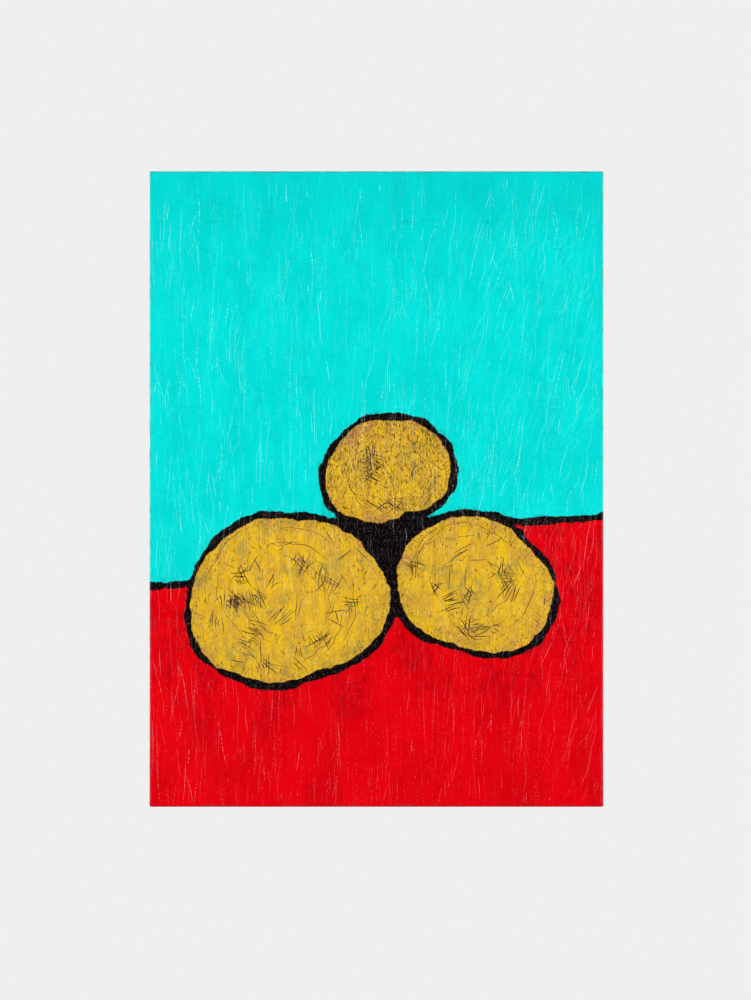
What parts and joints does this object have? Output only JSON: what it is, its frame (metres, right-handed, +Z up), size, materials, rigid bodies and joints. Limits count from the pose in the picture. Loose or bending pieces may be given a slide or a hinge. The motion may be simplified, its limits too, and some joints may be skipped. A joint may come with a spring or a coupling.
{
  "type": "stretched canvas painting",
  "caption": "Unframed painted canvas stretched over a keyed pine stretcher, with the cloth stapled on the back; hangs by its top bar or stands on its lower edge.",
  "frame": {"origin": "centre of the whole object, at half its depth", "axes": "+Z up the picture, +X to the right as it is seen from the front, +Y towards the stapled back"},
  "size_m": [0.501, 0.022, 0.7],
  "materials": {
    "cloth": "primed cotton duck, matt",
    "pine": "planed, unvarnished",
    "beech": "sawn, unvarnished",
    "steel": "bright wire",
    "turquoise_paint": "satin acrylic paint",
    "red_paint": "satin acrylic paint",
    "ochre_paint": "satin acrylic paint",
    "black_paint": "satin acrylic paint, thick"
  },
  "bodies": {
    "root": {"canvas": "cloth", "bar_top": "pine", "bar_bottom": "pine", "bar_left": "pine", "bar_right": "pine", "key_top_left_upright": "beech", "key_top_left_level": "beech", "key_top_right_upright": "beech", "key_top_right_level": "beech", "key_bottom_left_upright": "beech", "key_bottom_left_level": "beech", "key_bottom_right_upright": "beech", "key_bottom_right_level": "beech", "staple_top_1": "steel", "staple_top_2": "steel", "staple_top_3": "steel", "staple_top_4": "steel", "staple_top_5": "steel", "staple_top_6": "steel", "staple_top_7": "steel", "staple_top_8": "steel", "staple_bottom_1": "steel", "staple_bottom_2": "steel", "staple_bottom_3": "steel", "staple_bottom_4": "steel", "staple_bottom_5": "steel", "staple_bottom_6": "steel", "staple_bottom_7": "steel", "staple_bottom_8": "steel", "staple_left_1": "steel", "staple_left_2": "steel", "staple_left_3": "steel", "staple_left_4": "steel", "staple_left_5": "steel", "staple_left_6": "steel", "staple_left_7": "steel", "staple_left_8": "steel", "staple_left_9": "steel", "staple_left_10": "steel", "staple_left_11": "steel", "staple_right_1": "steel", "staple_right_2": "steel", "staple_right_3": "steel", "staple_right_4": "steel", "staple_right_5": "steel", "staple_right_6": "steel", "staple_right_7": "steel", "staple_right_8": "steel", "staple_right_9": "steel", "staple_right_10": "steel", "staple_right_11": "steel", "paint_turquoise": "turquoise_paint", "paint_red": "red_paint", "paint_lines": "black_paint", "paint_stone_1": "ochre_paint", "paint_stone_2": "ochre_paint", "paint_stone_3": "ochre_paint"}
  },
  "joints": []
}
